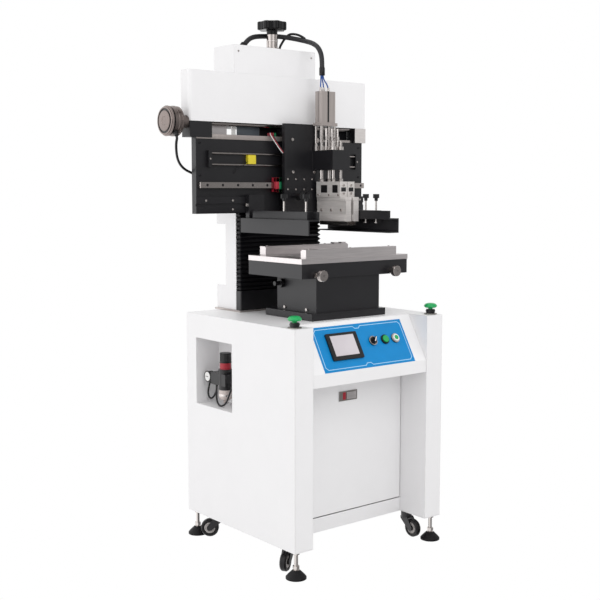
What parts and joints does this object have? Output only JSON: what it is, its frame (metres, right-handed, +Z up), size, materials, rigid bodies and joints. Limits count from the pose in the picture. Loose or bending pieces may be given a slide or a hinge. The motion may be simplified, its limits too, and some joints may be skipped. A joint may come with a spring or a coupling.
{
  "type": "solder paste stencil printer",
  "caption": "Semi-automatic solder paste printer: cabinet on feet and casters, table with rails, and a head on a column with squeegees, arms, covers and a knob.",
  "frame": {"origin": "on the floor under the middle of the machine's overall outline", "axes": "+X to the user's right, +Y towards the back, +Z up"},
  "size_m": [0.8, 0.6, 1.682],
  "materials": {
    "white_paint": "satin powder coat",
    "overlay_film": "satin film",
    "screen_plastic": "gloss",
    "black_plastic": "matte",
    "green_plastic": "gloss",
    "lamp_plastic": "gloss",
    "zinc_steel": "zinc plated",
    "black_anodised": "black anodised",
    "bare_aluminium": "satin",
    "rail_steel": "ground",
    "black_paint": "satin",
    "bellows_fabric": "matte",
    "motor_paint": "satin",
    "knob_plastic": "matte",
    "cable_sleeve": "matte",
    "tyre_rubber": "matte"
  },
  "bodies": {
    "printer_frame": {"left_side_panel": "white_paint", "cabinet_shell": "white_paint", "control_console": "white_paint", "back_panel": "white_paint", "base_pan": "white_paint", "service_niche": "white_paint", "control_overlay": "overlay_film", "touch_screen": "screen_plastic", "button_housings": "black_plastic", "levelling_feet": "zinc_steel", "pedestal": "black_anodised", "column_shell": "white_paint", "lift_unit": "rail_steel", "bellows_base": "black_paint", "bellows": "bellows_fabric", "air_regulator": "bare_aluminium", "air_tubes": "cable_sleeve"},
    "print_head": {"head_beam": "black_anodised", "head_frame": "bare_aluminium", "linear_rails": "rail_steel", "drive_motor": "motor_paint", "head_cover": "white_paint", "tower_cover": "white_paint", "knob_collar": "rail_steel", "motor_cable": "cable_sleeve", "cable_bundle": "cable_sleeve"},
    "screw": {"drive_screw": "rail_steel"},
    "stroke_wheel": {"stroke_knob": "knob_plastic"},
    "carriage": {"carriage_plate": "black_anodised", "carriage_bearings": "rail_steel", "squeegee_cylinders": "bare_aluminium"},
    "squeegee_left": {"left_squeegee": "bare_aluminium"},
    "squeegee_right": {"right_squeegee": "bare_aluminium"},
    "arm_left": {"left_arm": "black_anodised"},
    "arm_right": {"right_arm": "black_anodised"},
    "clamp_left_front": {"left_front_clamp": "rail_steel"},
    "clamp_left_rear": {"left_rear_clamp": "rail_steel"},
    "clamp_right_front": {"right_front_clamp": "rail_steel"},
    "clamp_right_rear": {"right_rear_clamp": "rail_steel"},
    "table_slide": {"table_block": "black_anodised"},
    "table_top": {"table_plate": "bare_aluminium"},
    "board_rail": {"rear_rail": "bare_aluminium"},
    "knob_left": {"left_table_knob": "rail_steel"},
    "knob_right": {"right_table_knob": "rail_steel"},
    "knob_side": {"side_table_knob": "rail_steel"},
    "door": {"front_door": "white_paint"},
    "selector": {"selector_lever": "black_plastic"},
    "start": {"start_button": "green_plastic"},
    "power": {"power_button": "lamp_plastic"},
    "palm_left": {"left_palm_button": "green_plastic"},
    "palm_right": {"right_palm_button": "green_plastic"},
    "air_knob": {"regulator_knob": "black_plastic"},
    "front_left_swivel": {"front_left_caster_fork": "black_paint"},
    "front_left_wheel": {"front_left_caster_wheel": "tyre_rubber"},
    "front_right_swivel": {"front_right_caster_fork": "black_paint"},
    "front_right_wheel": {"front_right_caster_wheel": "tyre_rubber"},
    "rear_left_swivel": {"rear_left_caster_fork": "black_paint"},
    "rear_left_wheel": {"rear_left_caster_wheel": "tyre_rubber"},
    "rear_right_swivel": {"rear_right_caster_fork": "black_paint"},
    "rear_right_wheel": {"rear_right_caster_wheel": "tyre_rubber"}
  },
  "joints": [
    {"name": "head_lift", "type": "slide", "parent": "printer_frame", "child": "print_head", "axis": [0, 0, 1], "range_m": [-0.036, 0.064], "deforming": ["bellows"]},
    {"name": "carriage_traverse", "type": "slide", "parent": "print_head", "child": "carriage", "axis": [1, 0, 0], "range_m": [-0.223, 0]},
    {"name": "drive_screw_turn", "type": "hinge", "parent": "print_head", "child": "screw", "pos_m": [0.04, 0.164, 1.339], "axis": [1, 0, 0], "range_deg": [-5025, 5]},
    {"name": "stroke_knob_turn", "type": "hinge", "parent": "print_head", "child": "stroke_wheel", "pos_m": [0.053, 0.224, 1.67], "axis": [0, 0, 1], "range_deg": [-1800, 1800]},
    {"name": "left_squeegee_drop", "type": "slide", "parent": "carriage", "child": "squeegee_left", "axis": [0, 0, 1], "range_m": [-0.02, 0]},
    {"name": "right_squeegee_drop", "type": "slide", "parent": "carriage", "child": "squeegee_right", "axis": [0, 0, 1], "range_m": [-0.02, 0]},
    {"name": "left_arm_slide", "type": "slide", "parent": "print_head", "child": "arm_left", "axis": [1, 0, 0], "range_m": [-0.12, 0]},
    {"name": "right_arm_slide", "type": "slide", "parent": "print_head", "child": "arm_right", "axis": [1, 0, 0], "range_m": [0, 0.12]},
    {"name": "left_rear_clamp_turn", "type": "hinge", "parent": "arm_left", "child": "clamp_left_rear", "pos_m": [-0.11, -0.048, 1.06], "axis": [0, 0, 1], "range_deg": [0, 1080]},
    {"name": "left_front_clamp_turn", "type": "hinge", "parent": "arm_left", "child": "clamp_left_front", "pos_m": [-0.11, -0.155, 1.06], "axis": [0, 0, 1], "range_deg": [0, 1080]},
    {"name": "right_rear_clamp_turn", "type": "hinge", "parent": "arm_right", "child": "clamp_right_rear", "pos_m": [0.215, -0.063, 1.06], "axis": [0, 0, 1], "range_deg": [0, 1080]},
    {"name": "right_front_clamp_turn", "type": "hinge", "parent": "arm_right", "child": "clamp_right_front", "pos_m": [0.215, -0.112, 1.06], "axis": [0, 0, 1], "range_deg": [0, 1080]},
    {"name": "table_x", "type": "slide", "parent": "printer_frame", "child": "table_slide", "axis": [1, 0, 0], "range_m": [-0.005, 0.005]},
    {"name": "table_y", "type": "slide", "parent": "table_slide", "child": "table_top", "axis": [0, 1, 0], "range_m": [-0.005, 0.005]},
    {"name": "side_knob_turn", "type": "hinge", "parent": "printer_frame", "child": "knob_side", "pos_m": [-0.08, -0.002, 0.841], "axis": [1, 0, 0], "range_deg": [-905, 905]},
    {"name": "left_knob_turn", "type": "hinge", "parent": "table_slide", "child": "knob_left", "pos_m": [-0.087, -0.173, 0.876], "axis": [0, 1, 0], "range_deg": [-905, 905]},
    {"name": "right_knob_turn", "type": "hinge", "parent": "table_slide", "child": "knob_right", "pos_m": [0.223, -0.173, 0.876], "axis": [0, 1, 0], "range_deg": [-905, 905]},
    {"name": "rear_rail_slide", "type": "slide", "parent": "table_top", "child": "board_rail", "axis": [0, 1, 0], "range_m": [-0.12, 0]},
    {"name": "door_tilt", "type": "hinge", "parent": "printer_frame", "child": "door", "pos_m": [0.04, -0.17, 0.135], "axis": [1, 0, 0], "range_deg": [0, 30]},
    {"name": "selector_turn", "type": "hinge", "parent": "printer_frame", "child": "selector", "pos_m": [0.08, -0.24617, 0.66999], "axis": [0, -0.8629, 0.5054], "range_deg": [-90, 0]},
    {"name": "start_press", "type": "slide", "parent": "printer_frame", "child": "start", "axis": [0, 0.8629, -0.5054], "range_m": [0, 0.0035], "stiffness_N_per_m": 900, "springref_m": -0.002},
    {"name": "power_press", "type": "slide", "parent": "printer_frame", "child": "power", "axis": [0, 0.8629, -0.5054], "range_m": [0, 0.0035], "stiffness_N_per_m": 900, "springref_m": -0.002},
    {"name": "left_palm_press", "type": "slide", "parent": "printer_frame", "child": "palm_left", "axis": [0, 0, -1], "range_m": [0, 0.005], "stiffness_N_per_m": 1500, "springref_m": -0.003},
    {"name": "right_palm_press", "type": "slide", "parent": "printer_frame", "child": "palm_right", "axis": [0, 0, -1], "range_m": [0, 0.005], "stiffness_N_per_m": 1500, "springref_m": -0.003},
    {"name": "air_knob_turn", "type": "hinge", "parent": "printer_frame", "child": "air_knob", "pos_m": [-0.216, 0.119, 0.6], "axis": [0, 0, 1], "range_deg": [-720, 720]},
    {"name": "front_left_swivel_turn", "type": "hinge", "parent": "printer_frame", "child": "front_left_swivel", "pos_m": [-0.206, -0.193, 0.081], "axis": [0, 0, 1], "continuous": true},
    {"name": "front_left_wheel_spin", "type": "hinge", "parent": "front_left_swivel", "child": "front_left_wheel", "pos_m": [-0.23144, -0.2089, 0.032], "axis": [0.5299, -0.848, 0], "continuous": true},
    {"name": "front_right_swivel_turn", "type": "hinge", "parent": "printer_frame", "child": "front_right_swivel", "pos_m": [0.286, -0.193, 0.081], "axis": [0, 0, 1], "continuous": true},
    {"name": "front_right_wheel_spin", "type": "hinge", "parent": "front_right_swivel", "child": "front_right_wheel", "pos_m": [0.286, -0.223, 0.032], "axis": [1, 0, 0], "continuous": true},
    {"name": "rear_left_swivel_turn", "type": "hinge", "parent": "printer_frame", "child": "rear_left_swivel", "pos_m": [-0.206, 0.177, 0.081], "axis": [0, 0, 1], "continuous": true},
    {"name": "rear_left_wheel_spin", "type": "hinge", "parent": "rear_left_swivel", "child": "rear_left_wheel", "pos_m": [-0.22898, 0.19628, 0.032], "axis": [-0.6428, -0.766, 0], "continuous": true},
    {"name": "rear_right_swivel_turn", "type": "hinge", "parent": "printer_frame", "child": "rear_right_swivel", "pos_m": [0.286, 0.177, 0.081], "axis": [0, 0, 1], "continuous": true},
    {"name": "rear_right_wheel_spin", "type": "hinge", "parent": "rear_right_swivel", "child": "rear_right_wheel", "pos_m": [0.30008, 0.20349, 0.032], "axis": [-0.8829, 0.4695, 0], "continuous": true}
  ],
  "couplings": [
    {"joint": "drive_screw_turn", "follows": "carriage_traverse", "rad_per_m": 392.7},
    {"joint": "side_knob_turn", "follows": "table_x", "rad_per_m": 3141.6},
    {"joint": "left_knob_turn", "follows": "table_y", "rad_per_m": 3141.6},
    {"joint": "right_knob_turn", "follows": "table_y", "rad_per_m": 3141.6}
  ]
}
